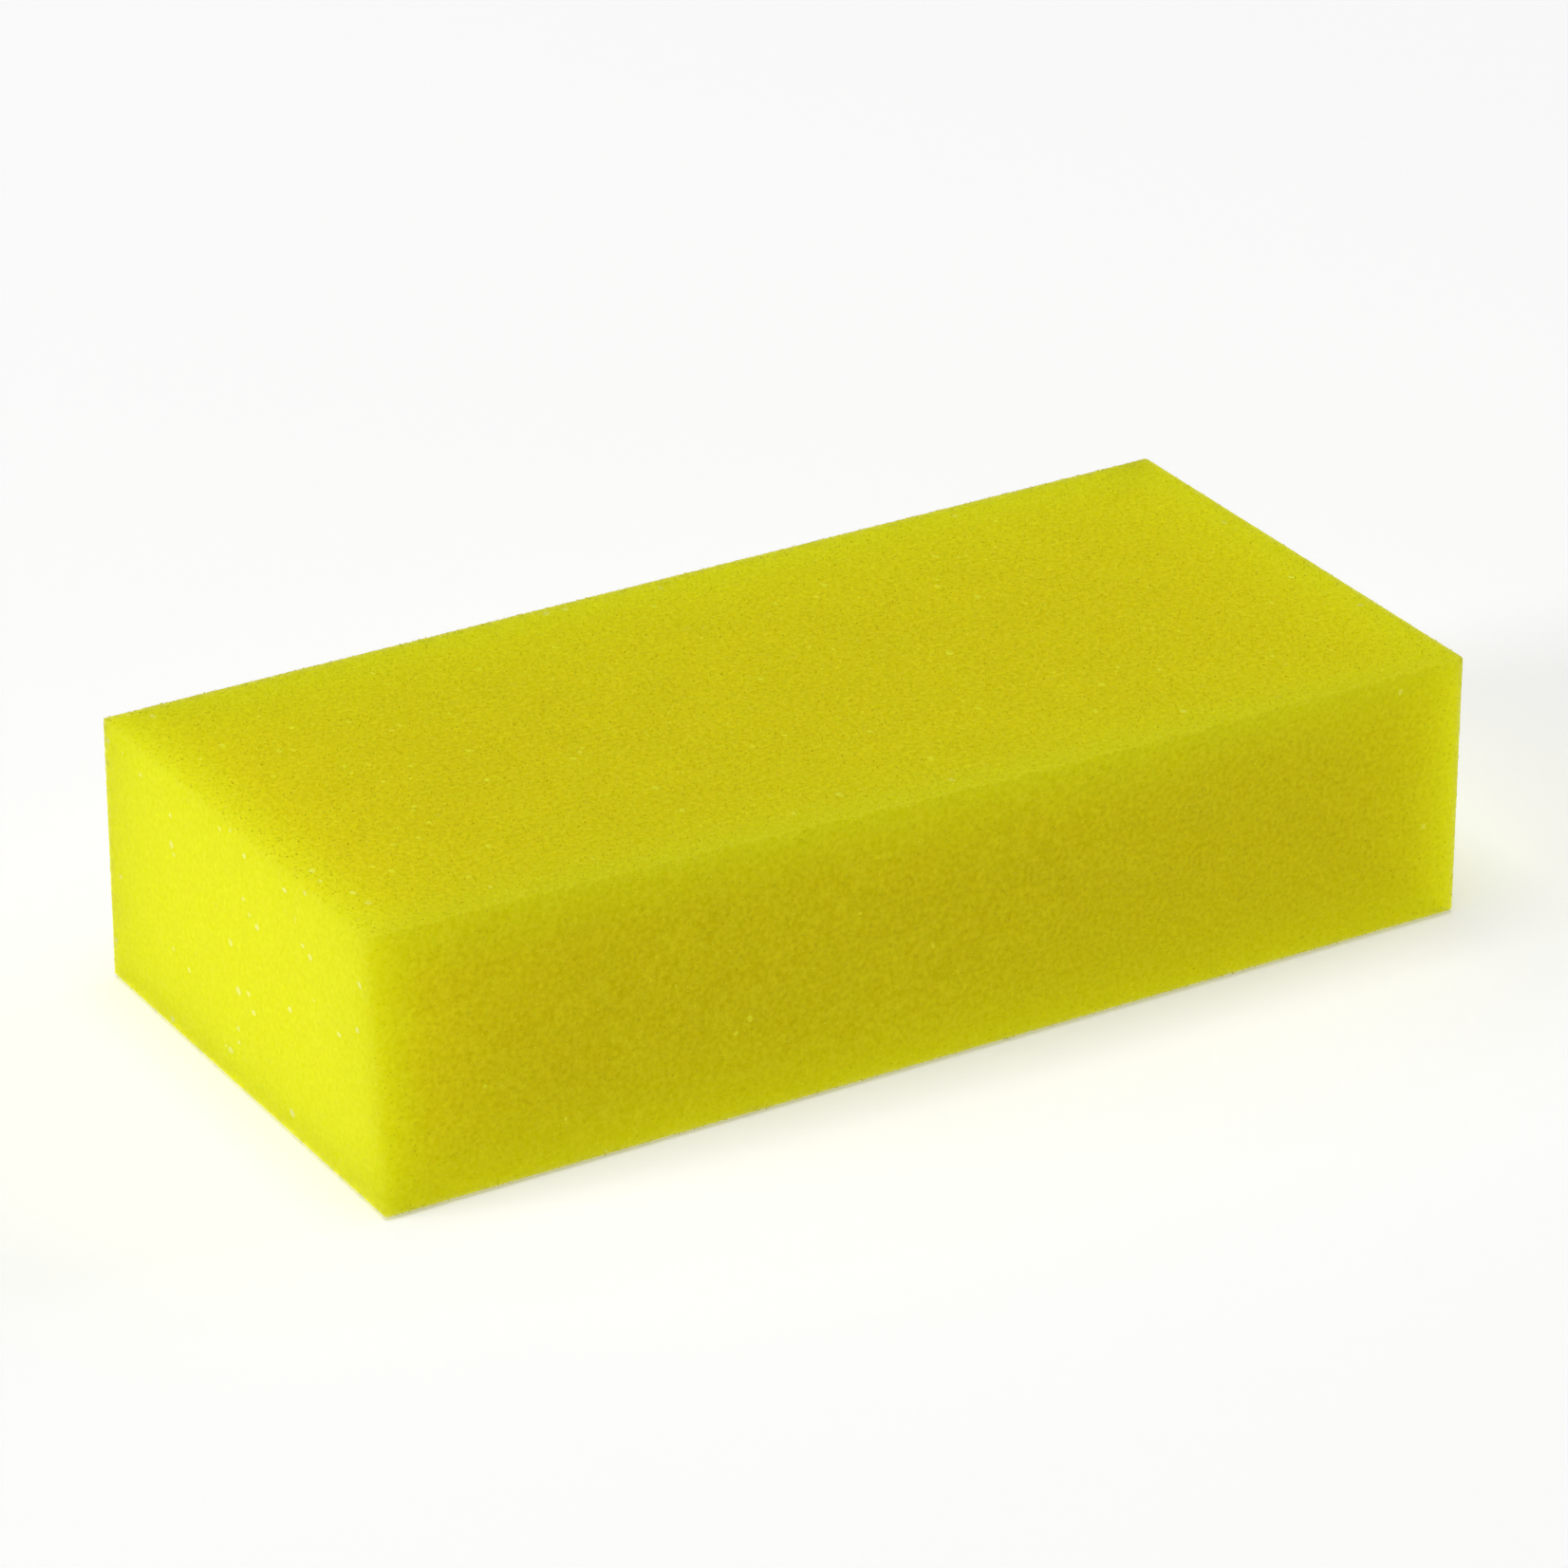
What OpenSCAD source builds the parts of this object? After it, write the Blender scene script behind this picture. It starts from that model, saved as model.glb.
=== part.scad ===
// Nail buffer block: a soft foam core with an abrasive coat bonded to each of its four long faces.
// The two ends are bare, knife-cut foam.
// The block lies on one of its two widest faces. X runs along its length, Y across its width and
// Z up, and the origin is at the centre of the face that it rests on.

/* [Block] */
// Length from one cut end to the other
block_length = 106; // [60:1:160]
// Width of the two widest faces
block_width = 50; // [25:1:80]
// Height as it lies, which is the thickness of the foam slab and its coats
block_height = 25; // [12:1:40]
// Outer radius of the four long edges
edge_radius = 0.5; // [0.4:0.1:3]

/* [Abrasive] */
// Thickness of one coat, from the foam to the tips of the grit
coat_thickness = 0.2; // [0.1:0.05:0.3]

/* [Hidden] */
$fn = 48;

// The foam is smaller than the block by one coat on each long face, and it runs the whole length.
core_width = block_width - 2 * coat_thickness;
core_height = block_height - 2 * coat_thickness;
core_edge_radius = edge_radius - coat_thickness;

foam_colour = [0.92, 0.91, 0.20];
coat_colour = [0.80, 0.76, 0.12];

// A rectangle with round corners, about the origin.
module rounded_rectangle(width, height, radius) {
    square([width - 2 * radius, height], center = true);
    square([width, height - 2 * radius], center = true);
    for (side = [-1, 1], end = [-1, 1])
        translate([side * (width / 2 - radius), end * (height / 2 - radius)])
            circle(r = radius);
}

// The part of a section that belongs to its upper face, between mitres at 45 degrees through
// the middles of the two corner arcs.
module upper_face_wedge(width, height) {
    outside = 1;
    polygon([
        [-width / 2 + edge_radius, height / 2 - edge_radius],
        [width / 2 - edge_radius, height / 2 - edge_radius],
        [width / 2 + outside, height / 2 + outside],
        [-width / 2 - outside, height / 2 + outside]
    ]);
}

// Stands a section up across the block and draws it out over the whole length.
module along_block() {
    translate([-block_length / 2, 0, block_height / 2])
        rotate([90, 0, 90])
            linear_extrude(height = block_length)
                children();
}

// All four coats in one ring, seen from the end.
module coat_ring() {
    difference() {
        rounded_rectangle(block_width, block_height, edge_radius);
        rounded_rectangle(core_width, core_height, core_edge_radius);
    }
}

// The coat on one of the two widest faces: 1 for the upper one, -1 for the lower one.
module wide_face_coat(side) {
    along_block()
        intersection() {
            coat_ring();
            rotate(side > 0 ? 0 : 180)
                upper_face_wedge(block_width, block_height);
        }
}

// The coat on one of the two long sides: 1 for the back one, -1 for the front one.
module long_side_coat(side) {
    along_block()
        intersection() {
            coat_ring();
            rotate(side > 0 ? -90 : 90)
                upper_face_wedge(block_height, block_width);
        }
}

module foam_core() {
    color(foam_colour)
        along_block()
            rounded_rectangle(core_width, core_height, core_edge_radius);
}

module top_abrasive() {
    color(coat_colour)
        wide_face_coat(1);
}

module bottom_abrasive() {
    color(coat_colour)
        wide_face_coat(-1);
}

module front_abrasive() {
    color(coat_colour)
        long_side_coat(-1);
}

module back_abrasive() {
    color(coat_colour)
        long_side_coat(1);
}

foam_core();
top_abrasive();
bottom_abrasive();
front_abrasive();
back_abrasive();
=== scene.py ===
import math

import bpy
import numpy as np
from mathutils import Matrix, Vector
from mathutils.geometry import delaunay_2d_cdt


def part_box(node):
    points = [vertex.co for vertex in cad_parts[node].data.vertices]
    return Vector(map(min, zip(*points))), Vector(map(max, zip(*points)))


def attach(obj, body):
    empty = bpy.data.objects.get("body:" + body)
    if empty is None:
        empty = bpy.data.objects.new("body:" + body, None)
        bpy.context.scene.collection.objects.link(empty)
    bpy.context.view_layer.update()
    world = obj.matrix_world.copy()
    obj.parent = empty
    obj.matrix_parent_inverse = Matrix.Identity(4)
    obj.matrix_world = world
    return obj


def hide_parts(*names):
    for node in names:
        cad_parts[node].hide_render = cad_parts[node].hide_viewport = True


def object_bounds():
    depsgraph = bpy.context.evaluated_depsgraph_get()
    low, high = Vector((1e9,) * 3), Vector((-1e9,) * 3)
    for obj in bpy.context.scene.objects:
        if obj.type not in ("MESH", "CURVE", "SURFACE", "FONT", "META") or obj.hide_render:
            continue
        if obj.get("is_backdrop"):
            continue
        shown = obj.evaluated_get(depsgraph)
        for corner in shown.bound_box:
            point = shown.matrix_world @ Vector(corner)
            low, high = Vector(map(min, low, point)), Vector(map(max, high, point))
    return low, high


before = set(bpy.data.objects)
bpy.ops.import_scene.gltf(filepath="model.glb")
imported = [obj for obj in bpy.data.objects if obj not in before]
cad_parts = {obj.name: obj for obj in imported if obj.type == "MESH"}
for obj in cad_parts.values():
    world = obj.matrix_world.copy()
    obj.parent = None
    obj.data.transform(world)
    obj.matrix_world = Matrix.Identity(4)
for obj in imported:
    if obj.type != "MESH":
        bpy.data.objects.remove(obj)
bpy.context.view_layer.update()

MM = 0.001
BLOCK_LOW, BLOCK_HIGH = (np.array(corner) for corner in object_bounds())
CORE_LOW, CORE_HIGH = (np.array(corner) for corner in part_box("foam_core"))
LENGTH = BLOCK_HIGH[0] - BLOCK_LOW[0]
CENTRE = (BLOCK_LOW + BLOCK_HIGH) / 2
IN_PLANE = ((1, 2), (2, 0), (0, 1))    # the two other axes, for each axis
ON_FACE = 1e-9                         # a point this near a face of the box is on it
NO_AREA = 1e-14                        # a triangle as small as this is left out
SEED = 7

# The camera: where it stands round the block, and a long lens.
AZIMUTH = math.radians(-30.94)
ELEVATION = math.radians(26.39)
DISTANCE = 5.976 * LENGTH
LENS = 168.8
AIM_RIGHT = -0.0040 * LENGTH
AIM_UP = 0.0255 * LENGTH

# The foam's open cells, between thin walls.
CELL = 0.82 * MM
CELL_JITTER = 0.30
CELL_MARGIN = 0.35 * CELL
PIT_DEPTH = 0.16 * MM
PIT_VARIETY = (0.3, 1.2)
WALL_DEPTH = 0.03 * MM

# Panes of unbroken film, painted pale as glints: which share of the cells has one on the ends, the long
# sides and the wide faces, how far they reach from the cell's middle towards its rim, and what share of
# that they have along X, Y and Z.
PANE_SHARES = (0.022, 0.003, 0.012)
PANE_REACH = (0.55, 1.00)
PANE_SHAPE = (0.65, 0.9, 0.65)

# The block's edges, and how far in from them the look of the foam changes. Near the edges the coat
# fades, partly thinning at the cut and partly a painted glow, and along the long edges lie a painted
# highlight and painted shade.
EDGE_STEP = 0.45 * MM
EDGE_JITTER = 0.2
EDGE_ROUND = 0.3 * MM
EDGE_SOFT = 1.5 * MM
# The coat's fade near the ends and long edges: partly the coat thinning at the cut, partly a painted
# glow.
COAT_AND_GLOW_FADE = 5.0 * MM
COAT_AT_GLOWING_EDGE = 0.35
RIM = 2.0 * MM
# Along the long edges: a painted highlight on the wide faces and painted shade on the narrow sides,
# fading out over RIM.
WIDE_RIM_PAINTED_HIGHLIGHT = 0.02
NARROW_RIM_PAINTED_SHADE = -0.07

# How far the front side's upper edge is set back at one end, and over what share of the length.
LEAN = 2.4 * MM
LEAN_REACH = 0.75

# The grit: how far apart the grains stand, how wide they are, how much their corners vary, and
# how far they stand out of the foam, as a share of their radius.
GRAIN_STEP = 0.47 * MM
GRAIN_JITTER = 0.5
GRAIN_MARGIN = 0.12 * MM
GRAIN_SIZE = (0.08 * MM, 0.18 * MM)
GRAIN_VARIETY = (0.6, 1.2)
GRAIN_LIFT = (-0.3, 0.5)


# ---------------------------------------------------------------- mesh tools

def make_object(name, points, triangles, smooth):
    """A mesh object from arrays of points and of triangles."""
    mesh = bpy.data.meshes.new(name)
    mesh.vertices.add(len(points))
    mesh.vertices.foreach_set("co", np.asarray(points, np.float32).ravel())
    mesh.loops.add(triangles.size)
    mesh.loops.foreach_set("vertex_index", np.asarray(triangles, np.int32).ravel())
    mesh.polygons.add(len(triangles))
    mesh.polygons.foreach_set("loop_start", np.arange(0, triangles.size, 3, dtype=np.int32))
    mesh.polygons.foreach_set("use_smooth", np.full(len(triangles), smooth))
    mesh.update(calc_edges=True)
    mesh.validate()
    piece = bpy.data.objects.new(name, mesh)
    bpy.context.scene.collection.objects.link(piece)
    return piece


def scattered(width, height, step, jitter, margin, rng):
    """Points on a shaken honeycomb lattice inside a rectangle, clear of its rim."""
    row_step = step * math.sqrt(3) / 2
    row, column = np.mgrid[0:int(height / row_step) + 2, 0:int(width / step) + 2]
    points = np.stack([((column + 0.5 * (row % 2)) * step).ravel(), (row * row_step).ravel()], axis=1)
    points += rng.uniform(-jitter, jitter, points.shape) * step
    inside = (points > margin) & (points < [width - margin, height - margin])
    return points[inside.all(axis=1)]


def cell_fans(triangles, first_centre):
    """Cuts a triangulation into cells: each point becomes the middle of a fan whose corners are
    the centres of the triangles round it, numbered from first_centre."""
    start = triangles.ravel().astype(np.int64)
    end = np.roll(triangles, -1, axis=1).ravel().astype(np.int64)
    own = np.repeat(np.arange(len(triangles)), 3)
    count = triangles.max() + 1
    there = start * count + end
    back = end * count + start
    order = np.argsort(there)
    place = np.searchsorted(there[order], back).clip(0, len(there) - 1)
    paired = there[order][place] == back
    third = np.where(paired, own[order][place] + first_centre, end)
    return np.stack([start, third, own + first_centre], axis=1)


def weld(points, triangles, middle):
    """Joins the points that two faces share along an edge."""
    grid = np.round(points / (0.001 * MM)).astype(np.int64)
    _, first, place = np.unique(grid, axis=0, return_index=True, return_inverse=True)
    return points[first], place.ravel()[triangles], middle[first]


# ---------------------------------------------------------------- foam core

def edge_stations(size, rng):
    """Where points stand on the box's twelve edges, by the edge's axis and by which ends of
    the other two axes it is at."""
    stations = {}
    for axis in range(3):
        count = round(size[axis] / EDGE_STEP)
        for ends in ((0, 0), (0, 1), (1, 0), (1, 1)):
            places = np.arange(count + 1.0)
            places[1:-1] += rng.uniform(-EDGE_JITTER, EDGE_JITTER, count - 1)
            stations[axis, ends] = places * size[axis] / count
    return stations


def face_rim(axis, outer, stations, size):
    """The points round one face, in its own two directions from its low corner."""
    u, v = IN_PLANE[axis]
    rim = []
    for along, across in ((u, v), (v, u)):
        for far in (0, 1):
            ends = {axis: outer, across: far}
            places = stations[along, tuple(ends[key] for key in sorted(ends))]
            edge = np.full((len(places), 3), far * size[across])
            edge[:, along] = places
            rim.append(edge[:, [u, v]])
    return np.unique(np.concatenate(rim), axis=0)


def face_cells(rim, width, height, rng):
    """One face of open cells: its points, its triangles, and 1 for each point in the middle of
    a cell."""
    inner = scattered(width, height, CELL, CELL_JITTER, CELL_MARGIN, rng)
    flat = np.concatenate([rim, inner])
    result = delaunay_2d_cdt([Vector(point / MM) for point in flat], [], [], 0, 1e-7, True)
    triangles = np.array([list(triangle) for triangle in result[2]])
    a, b, c = (flat[triangles[:, corner]] for corner in range(3))
    area = np.cross(b - a, c - a)
    triangles = np.where((area < 0)[:, None], triangles[:, ::-1], triangles)[np.abs(area) > NO_AREA]
    points = np.concatenate([flat, flat[triangles].mean(axis=1)])
    middle = np.zeros(len(points))
    middle[len(rim):len(flat)] = 1
    return points, cell_fans(triangles, len(flat)), middle


def foam_surface(rng):
    """The block's six faces as one closed mesh of open cells, still flat."""
    size = CORE_HIGH - CORE_LOW
    stations = edge_stations(size, rng)
    points, triangles, middle, count = [], [], [], 0
    for axis in range(3):
        u, v = IN_PLANE[axis]
        for outer in (0, 1):
            rim = face_rim(axis, outer, stations, size)
            flat, cells, middles = face_cells(rim, size[u], size[v], rng)
            face = np.empty((len(flat), 3))
            face[:, axis] = outer * size[axis]
            face[:, [u, v]] = flat
            points.append(face + CORE_LOW)
            triangles.append((cells if outer else cells[:, [0, 2, 1]]) + count)
            middle.append(middles)
            count += len(face)
    return weld(np.concatenate(points), np.concatenate(triangles), np.concatenate(middle))


def soften_edges(points, low, high, radius):
    """Moves points on a box's faces on to the same box with round edges and corners.
    Returns the points and the outward direction at each."""
    anchors = np.clip(points, low + radius, high - radius)
    outward = points - anchors
    outward /= np.linalg.norm(outward, axis=1, keepdims=True)
    return anchors + outward * radius, outward


def leaned(points):
    """The long front side as it was cut: towards one end, its upper edge is set back a little."""
    along, across, up = ((points - CORE_LOW) / (CORE_HIGH - CORE_LOW)).T
    nearness = (1 + np.cos(math.pi * np.clip(along / LEAN_REACH, 0, 1))) / 2
    points[:, 1] += LEAN * nearness * up * (1 - across)
    return points


def point_values(piece, name, values):
    attribute = piece.data.attributes.new(name, "FLOAT", "POINT")
    attribute.data.foreach_set("value", np.asarray(values, np.float32))


def cut_panes(points, triangles, middle, chosen, rng):
    """Puts a small flat pane into each chosen cell, level with the cell's rim.
    Returns the points, the triangles, the middles, and which triangles are panes."""
    fan = chosen[triangles[:, 0]]
    cell, first, second = triangles[fan].T
    pairs, place = np.unique(np.concatenate([cell * len(points) + first, cell * len(points) + second]),
                             return_inverse=True)
    ring = place.ravel() + len(points)
    first_ring, second_ring = ring[:len(cell)], ring[len(cell):]
    centre, corner = points[pairs // len(points)], points[pairs % len(points)]
    reach = rng.uniform(*PANE_REACH, len(points))[pairs // len(points)][:, None]
    points = np.concatenate([points, centre + (corner - centre) * reach * PANE_SHAPE])
    middle = np.concatenate([np.where(chosen, 0, middle), np.zeros(len(pairs))])
    panes = np.stack([cell, first_ring, second_ring], axis=1)
    rims = np.concatenate([np.stack([first_ring, first, second], axis=1),
                           np.stack([first_ring, second, second_ring], axis=1)])
    triangles = np.concatenate([triangles[~fan], rims, panes])
    return points, triangles, middle, np.arange(len(triangles)) >= len(triangles) - len(panes)


def rounded_normals(piece, flat, gaps, outward):
    """Lets the shading of the two ends run smoothly into that of their neighbours. The four long
    edges stay crisp."""
    own = np.empty(len(flat) * 3, np.float32)
    piece.data.vertex_normals.foreach_get("vector", own)
    soft = np.exp(-gaps / EDGE_SOFT)
    soft[:, 1:] *= np.where(gaps[:, 1:] < ON_FACE, 1, soft[:, :1])
    soft *= np.where(flat - CORE_LOW < CORE_HIGH - flat, -1, 1)
    soft /= np.linalg.norm(soft, axis=1, keepdims=True)
    normals = soft + own.reshape(-1, 3) - outward
    normals /= np.linalg.norm(normals, axis=1, keepdims=True)
    piece.data.normals_split_custom_set_from_vertices(normals)


def foam_core():
    rng = np.random.default_rng(SEED)
    flat, triangles, middle = foam_surface(rng)
    on_face = np.minimum(flat - CORE_LOW, CORE_HIGH - flat) < ON_FACE
    chosen = (middle > 0) & (rng.random(len(flat)) < on_face @ PANE_SHARES)
    flat, triangles, middle, panes = cut_panes(flat, triangles, middle, chosen, rng)
    gaps = np.minimum(flat - CORE_LOW, CORE_HIGH - flat)
    end_gap, side_gap = gaps[:, 0], gaps[:, 1:].max(axis=1)
    points, outward = soften_edges(flat, CORE_LOW, CORE_HIGH, EDGE_ROUND)
    pit = middle * rng.uniform(*PIT_VARIETY, len(points))
    wall = (1 - middle) * rng.uniform(0, 1, len(points))
    points = leaned(points - outward * (pit * PIT_DEPTH + wall * WALL_DEPTH)[:, None])
    core = make_object("foam_core_block", points, triangles, True)
    rounded_normals(core, flat, gaps, outward)
    # The coat fades towards the ends and long edges: partly the coat thinning at the cut, partly a
    # painted glow near the edges.
    away_from_end = np.clip(end_gap / COAT_AND_GLOW_FADE, 0, 1)
    away_from_side = np.clip(side_gap / COAT_AND_GLOW_FADE, 0, 1)
    point_values(core, "coat_and_edge_glow", away_from_end * (COAT_AT_GLOWING_EDGE + (1 - COAT_AT_GLOWING_EDGE) * away_from_side))
    # Painted highlight on the wide faces and painted shade on the narrow sides, along the long edges.
    rim_painted_light_and_shade = np.where(gaps[:, 2] < ON_FACE, WIDE_RIM_PAINTED_HIGHLIGHT, NARROW_RIM_PAINTED_SHADE)
    point_values(core, "rim_painted_light_and_shade", rim_painted_light_and_shade * away_from_end * np.exp(-side_gap / RIM))
    core.data.materials.append(foam_material("foam", False))
    core.data.materials.append(foam_material("foam_panes", True))
    core.data.polygons.foreach_set("material_index", panes.astype(np.int32))
    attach(core, "root")
    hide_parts("foam_core")


# ---------------------------------------------------------------- grit

# A grain: a three-sided crystal with a tip at each end.
SHARD = np.array([[1, 0, 0], [-0.5, 0.87, 0], [-0.5, -0.87, 0], [0, 0, 1], [0, 0, -1]])
SHARD_FACES = np.array([[0, 1, 3], [1, 2, 3], [2, 0, 3], [1, 0, 4], [2, 1, 4], [0, 2, 4]])


def random_turns(count, rng):
    """Rotation matrices from random unit quaternions."""
    quaternions = rng.normal(size=(4, count))
    w, x, y, z = quaternions / np.linalg.norm(quaternions, axis=0)
    return np.stack([
        np.stack([1 - 2 * (y * y + z * z), 2 * (x * y - w * z), 2 * (x * z + w * y)], axis=1),
        np.stack([2 * (x * y + w * z), 1 - 2 * (x * x + z * z), 2 * (y * z - w * x)], axis=1),
        np.stack([2 * (x * z - w * y), 2 * (y * z + w * x), 1 - 2 * (x * x + y * y)], axis=1),
    ], axis=1)


def grit(node, axis, outer, seed):
    """The grains on one long face, as separate crystals half sunk in the foam's face."""
    rng = np.random.default_rng(seed)
    u, v = IN_PLANE[axis]
    size = BLOCK_HIGH - BLOCK_LOW
    spots = scattered(size[u], size[v], GRAIN_STEP, GRAIN_JITTER, GRAIN_MARGIN, rng)
    radii = rng.uniform(*GRAIN_SIZE, len(spots)) / 2
    centres = np.empty((len(spots), 3))
    centres[:, axis] = (CORE_HIGH if outer else CORE_LOW)[axis]
    centres[:, [u, v]] = (BLOCK_LOW[[u, v]] + spots).clip(CORE_LOW[[u, v]], CORE_HIGH[[u, v]])
    centres, outward = soften_edges(centres, CORE_LOW, CORE_HIGH, EDGE_ROUND)
    lift = radii * rng.uniform(*GRAIN_LIFT, len(spots))
    centres = leaned(centres + outward * lift[:, None])
    shape = SHARD * rng.uniform(*GRAIN_VARIETY, (len(spots), len(SHARD), 1))
    shape = np.einsum("nij,nkj->nki", random_turns(len(spots), rng), shape)
    points = centres[:, None] + shape * radii[:, None, None]
    triangles = SHARD_FACES + len(SHARD) * np.arange(len(spots))[:, None, None]
    piece = make_object(node + "_grit", points.reshape(-1, 3), triangles.reshape(-1, 3), False)
    for name in GRAINS:
        piece.data.materials.append(grain_material(name))
    kind = rng.choice(len(GRAINS), len(spots), p=GRAIN_SHARES)
    piece.data.polygons.foreach_set("material_index", np.repeat(kind, len(SHARD_FACES)).astype(np.int32))
    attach(piece, "root")
    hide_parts(node)


# ---------------------------------------------------------------- materials

# Linear colours. The end is bare foam, and a face with the coat is a little browner. The panes' pale
# colours are painted glints.
FOAM_END = (0.80, 0.80, 0.0138)
FOAM_COATED = (0.80, 0.725, 0.0095)
PANE_END_PAINTED_GLINT = (0.94, 0.95, 0.18)
PANE_COATED_PAINTED_GLINT = (0.97, 0.94, 0.04)
# How far light soaks in, for each colour.
SSS_RADIUS = (1.0, 0.8, 0.1)
SSS_SCALE = 40 * MM
# The foam's fine grain and its clouds: their scales, and how they change its tone. A coat adds
# to them. Blue changes most with the grain, about the grain's middle value of a half.
FOAM_GRAIN_SCALE = 2100
FOAM_CLOUD_SCALE = 170
TONE_START, TONE_GRAIN, TONE_CLOUD = 0.90, 0.17, 0.03
COAT_START, COAT_GRAIN, COAT_CLOUD = -0.125, 0.20, 0.05
BLUE_GRAIN = 2.5
RELIEF = 0.15 * MM
# Roughness at its least, how much the grain adds to it, and gloss.
FOAM_FINISH = (0.45, 0.3, 0.02)
PANE_FINISH = (0.08, 0.2, 0.04)
GRIT_GLOSS = 0.2
# The grit's colours, each with its roughness, and how common each is.
GRAINS = {
    "grit_pale": ((0.99, 0.98, 0.06), 0.35),
    "grit_yellow": ((0.86, 0.81, 0.022), 0.45),
    "grit_amber": ((0.64, 0.58, 0.003), 0.55),
}
GRAIN_SHARES = (0.20, 0.50, 0.30)


def new_material(name):
    material = bpy.data.materials.new(name)
    material.use_nodes = True
    tree = material.node_tree
    return material, tree, tree.nodes["Principled BSDF"]


def noise(tree, place, scale, detail):
    node = tree.nodes.new("ShaderNodeTexNoise")
    node.inputs["Scale"].default_value = scale
    node.inputs["Detail"].default_value = detail
    tree.links.new(place, node.inputs["Vector"])
    return node.outputs["Fac"]


def attribute(tree, name):
    node = tree.nodes.new("ShaderNodeAttribute")
    node.attribute_name = name
    return node.outputs["Fac"]


def product(tree, first, second):
    node = tree.nodes.new("ShaderNodeMath")
    node.operation = "MULTIPLY"
    tree.links.new(first, node.inputs[0])
    tree.links.new(second, node.inputs[1])
    return node.outputs[0]


def scaled_sum(tree, start, *terms):
    """start plus each term times its factor."""
    total = None
    for value, factor in terms:
        node = tree.nodes.new("ShaderNodeMath")
        node.operation = "MULTIPLY_ADD"
        tree.links.new(value, node.inputs[0])
        node.inputs[1].default_value = factor
        if total is None:
            node.inputs[2].default_value = start
        else:
            tree.links.new(total, node.inputs[2])
        total = node.outputs[0]
    return total


def blend(tree, factor, low, high):
    """The colour low where the factor is 0, and high where it is 1."""
    node = tree.nodes.new("ShaderNodeMix")
    node.data_type = "RGBA"
    tree.links.new(factor, node.inputs["Factor"])
    node.inputs[6].default_value = (*low, 1)
    node.inputs[7].default_value = (*high, 1)
    return node.outputs[2]


def foam_material(name, pane):
    """Light soaks far into the foam, so only fine grain shows on it. A pane is smoother, and painted
    paler as a glint.
    """
    material, tree, shader = new_material(name)
    nodes, links = tree.nodes, tree.links
    place = nodes.new("ShaderNodeTexCoord").outputs["Object"]
    grain = noise(tree, place, FOAM_GRAIN_SCALE, 1)
    # This mask's fade near the ends and long edges is partly the coat thinning, partly a painted glow.
    coat_and_edge_glow = attribute(tree, "coat_and_edge_glow")
    # A pane's pale colour is a painted glint, over a little real gloss.
    if pane:
        links.new(blend(tree, coat_and_edge_glow, PANE_END_PAINTED_GLINT, PANE_COATED_PAINTED_GLINT), shader.inputs["Base Color"])
    else:
        cloud = noise(tree, place, FOAM_CLOUD_SCALE, 2)
        coat = scaled_sum(tree, COAT_START, (grain, COAT_GRAIN), (cloud, COAT_CLOUD))
        # The rim values add a painted highlight on the wide faces and painted shade on the narrow sides,
        # along the long edges.
        added = ((product(tree, coat_and_edge_glow, coat), 1), (attribute(tree, "rim_painted_light_and_shade"), 1))
        tone = scaled_sum(tree, TONE_START, (grain, TONE_GRAIN), (cloud, TONE_CLOUD), *added)
        blue_tone = scaled_sum(tree, -BLUE_GRAIN / 2, (grain, BLUE_GRAIN), (tone, 1))
        tones = nodes.new("ShaderNodeCombineXYZ")
        for channel, value in zip("XYZ", (tone, tone, blue_tone)):
            links.new(value, tones.inputs[channel])
        toned = nodes.new("ShaderNodeVectorMath")
        toned.operation = "MULTIPLY"
        links.new(blend(tree, coat_and_edge_glow, FOAM_END, FOAM_COATED), toned.inputs[0])
        links.new(tones.outputs[0], toned.inputs[1])
        links.new(toned.outputs[0], shader.inputs["Base Color"])
    smoothest, from_grain, gloss = PANE_FINISH if pane else FOAM_FINISH
    links.new(scaled_sum(tree, smoothest, (grain, from_grain)), shader.inputs["Roughness"])
    relief = nodes.new("ShaderNodeBump")
    relief.inputs["Distance"].default_value = RELIEF
    links.new(grain, relief.inputs["Height"])
    links.new(relief.outputs[0], shader.inputs["Normal"])
    shader.inputs["Specular IOR Level"].default_value = gloss
    shader.subsurface_method = "RANDOM_WALK"
    shader.inputs["Subsurface Weight"].default_value = 1.0
    shader.inputs["Subsurface Radius"].default_value = SSS_RADIUS
    shader.inputs["Subsurface Scale"].default_value = SSS_SCALE
    return material


def grain_material(name):
    """One colour of grain. All four gritty faces share it."""
    if name not in bpy.data.materials:
        material, tree, shader = new_material(name)
        colour, roughness = GRAINS[name]
        shader.inputs["Base Color"].default_value = (*colour, 1)
        shader.inputs["Roughness"].default_value = roughness
        shader.inputs["Specular IOR Level"].default_value = GRIT_GLOSS
    return bpy.data.materials[name]


# ---------------------------------------------------------------- studio

# The soft boxes: the way each one stands from the block, its size and its power.
LIGHTS = {
    "key_left": ((-1.0, 0.20, 0.30), 1.25, 44.5),
    "top": ((-0.1, 0.0, 1.0), 2.0, 49.5),
    "right": ((1.0, 0.0, 0.25), 1.25, 23.5),
}
LIGHT_DISTANCE = 3.0
ROOM_LIGHT = 0.01
FLOOR_REACH = 4.0
FLOOR_GREY = 0.90
FLOOR_GLOW = {"pale_floor": 0.345, "pale_floor_shaded": 0.28}


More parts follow.
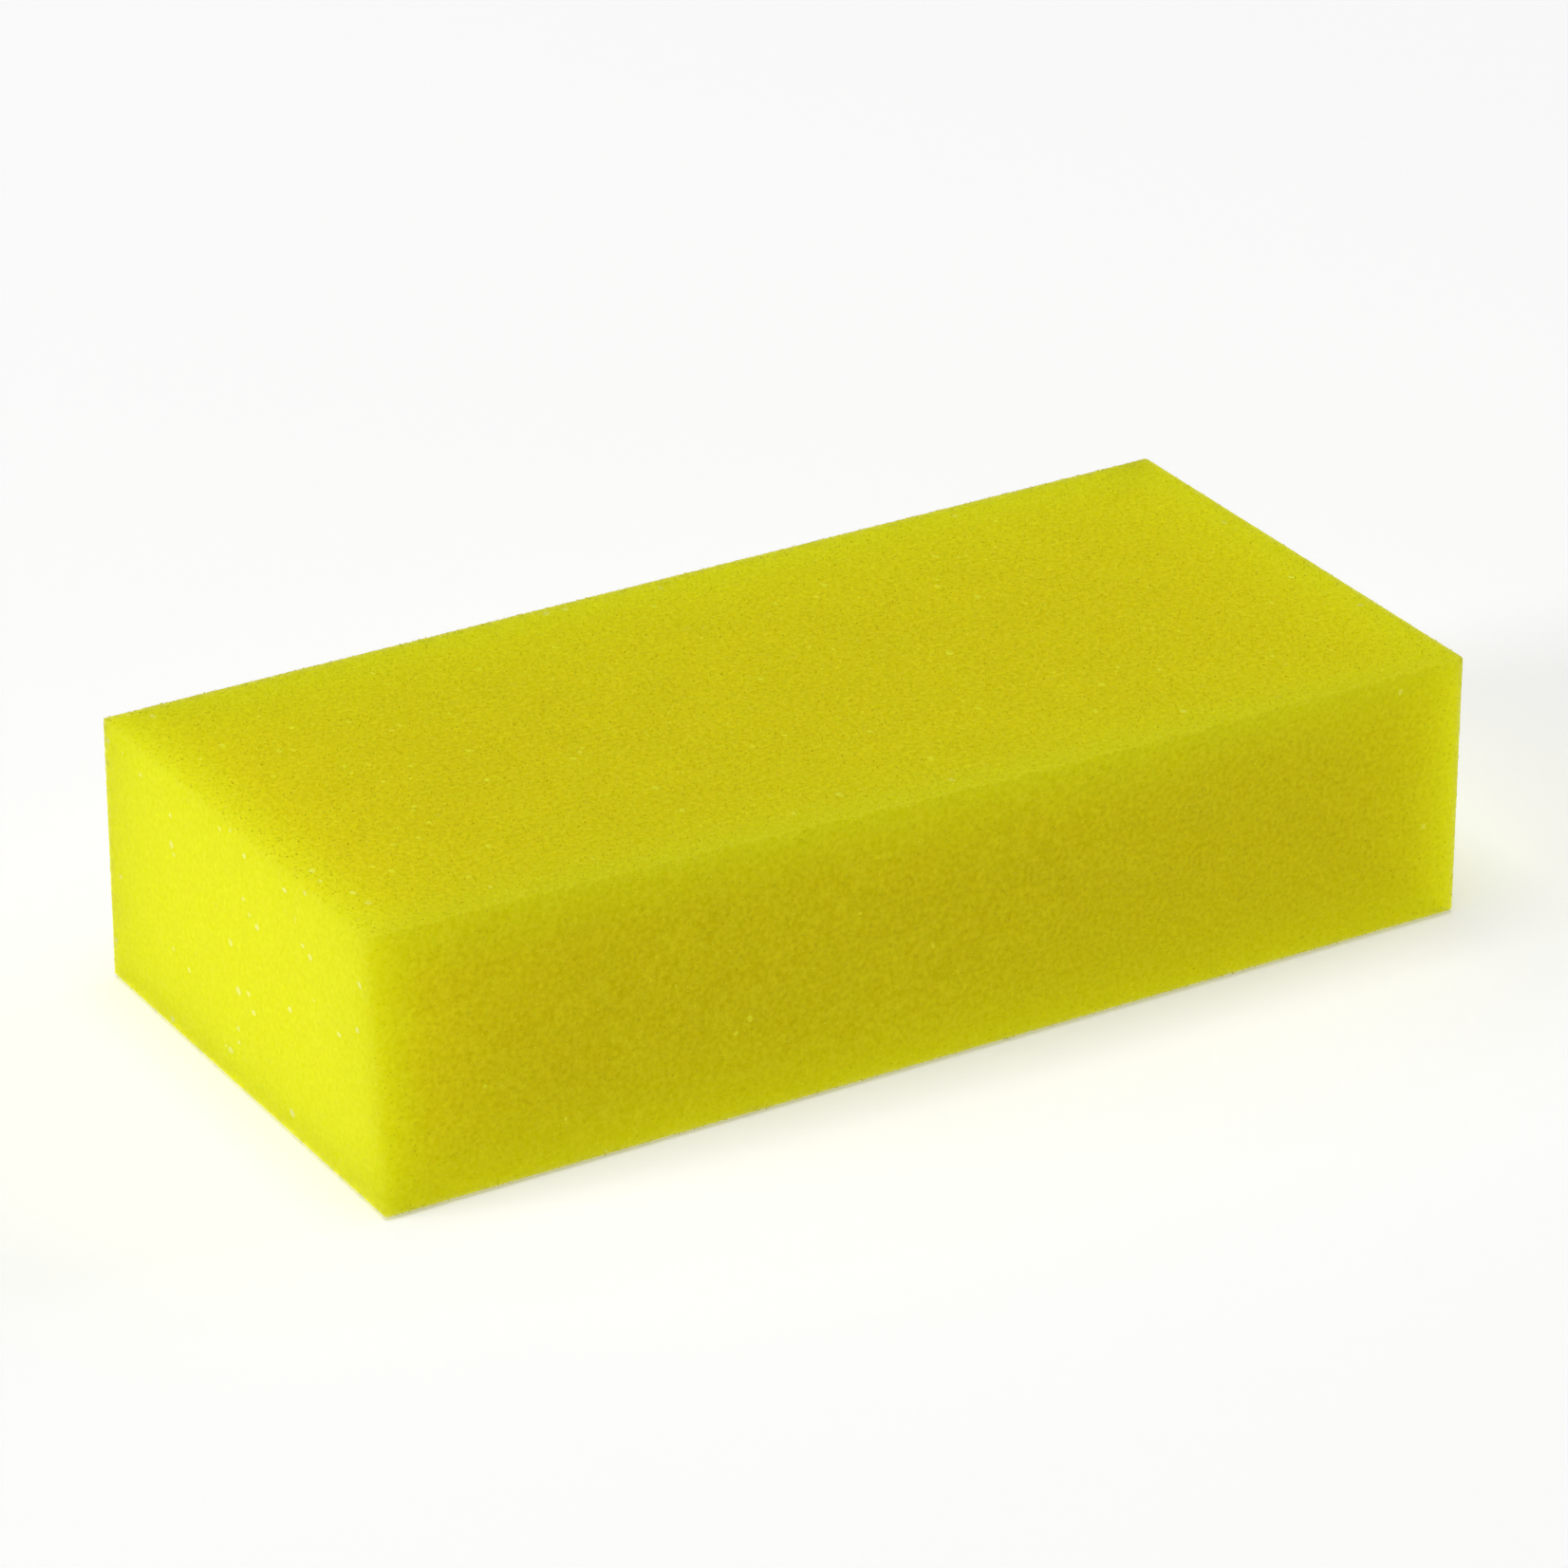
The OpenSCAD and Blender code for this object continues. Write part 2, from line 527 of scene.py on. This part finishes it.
def area_light(name, direction, size, power):
    """A square soft box that looks at the block from the given direction."""
    light = bpy.data.lights.new(name, "AREA")
    light.shape = "SQUARE"
    light.size = size
    light.energy = power
    lamp = bpy.data.objects.new(name, light)
    way = Vector(direction).normalized()
    lamp.location = Vector(CENTRE) + way * LIGHT_DISTANCE
    lamp.rotation_euler = (-way).to_track_quat("-Z", "Y").to_euler()
    bpy.context.scene.collection.objects.link(lamp)


def lights():
    scene = bpy.context.scene
    scene.view_settings.view_transform = "Standard"
    world = bpy.data.worlds.new("studio")
    world.use_nodes = True
    background = world.node_tree.nodes["Background"]
    background.inputs["Color"].default_value = (1, 1, 1, 1)
    background.inputs["Strength"].default_value = ROOM_LIGHT
    scene.world = world
    for name, (direction, size, power) in LIGHTS.items():
        area_light(name, direction, size, power)


def floor():
    """A pale floor that glows softly, in three by three panels. The middle one lies under the
    block and glows less."""
    across = (-FLOOR_REACH, BLOCK_LOW[0], BLOCK_HIGH[0], FLOOR_REACH)
    deep = (-FLOOR_REACH, BLOCK_LOW[1], BLOCK_HIGH[1], FLOOR_REACH)
    corners = [(x, y, 0) for y in deep for x in across]
    starts = [4 * row + column for row in range(3) for column in range(3)]
    mesh = bpy.data.meshes.new("floor")
    mesh.from_pydata(corners, [], [(k, k + 1, k + 5, k + 4) for k in starts])
    for name, glow in FLOOR_GLOW.items():
        material, tree, shader = new_material(name)
        shader.inputs["Base Color"].default_value = (FLOOR_GREY, FLOOR_GREY, FLOOR_GREY, 1)
        shader.inputs["Roughness"].default_value = 0.8
        shader.inputs["Specular IOR Level"].default_value = 0.1
        shader.inputs["Emission Color"].default_value = (1, 1, 1, 1)
        shader.inputs["Emission Strength"].default_value = glow
        mesh.materials.append(material)
    mesh.polygons[4].material_index = 1
    piece = bpy.data.objects.new("floor", mesh)
    bpy.context.scene.collection.objects.link(piece)
    piece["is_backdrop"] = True


def camera():
    back = Vector((math.sin(AZIMUTH) * math.cos(ELEVATION),
                   -math.cos(AZIMUTH) * math.cos(ELEVATION),
                   math.sin(ELEVATION)))
    right = (-back).cross(Vector((0, 0, 1))).normalized()
    up = right.cross(-back)
    aim = Vector(CENTRE) + right * AIM_RIGHT + up * AIM_UP
    data = bpy.data.cameras.new("camera")
    data.lens = LENS
    data.sensor_width = 36
    data.clip_start, data.clip_end = 0.01, 20
    eye = bpy.data.objects.new("camera", data)
    eye.location = aim + back * DISTANCE
    eye.rotation_euler = (-back).to_track_quat("-Z", "Y").to_euler()
    bpy.context.scene.collection.objects.link(eye)
    bpy.context.scene.camera = eye


camera()
foam_core()
grit("top_abrasive", 2, 1, SEED + 1)
grit("bottom_abrasive", 2, 0, SEED + 2)
grit("front_abrasive", 1, 0, SEED + 3)
grit("back_abrasive", 1, 1, SEED + 4)
lights()
floor()
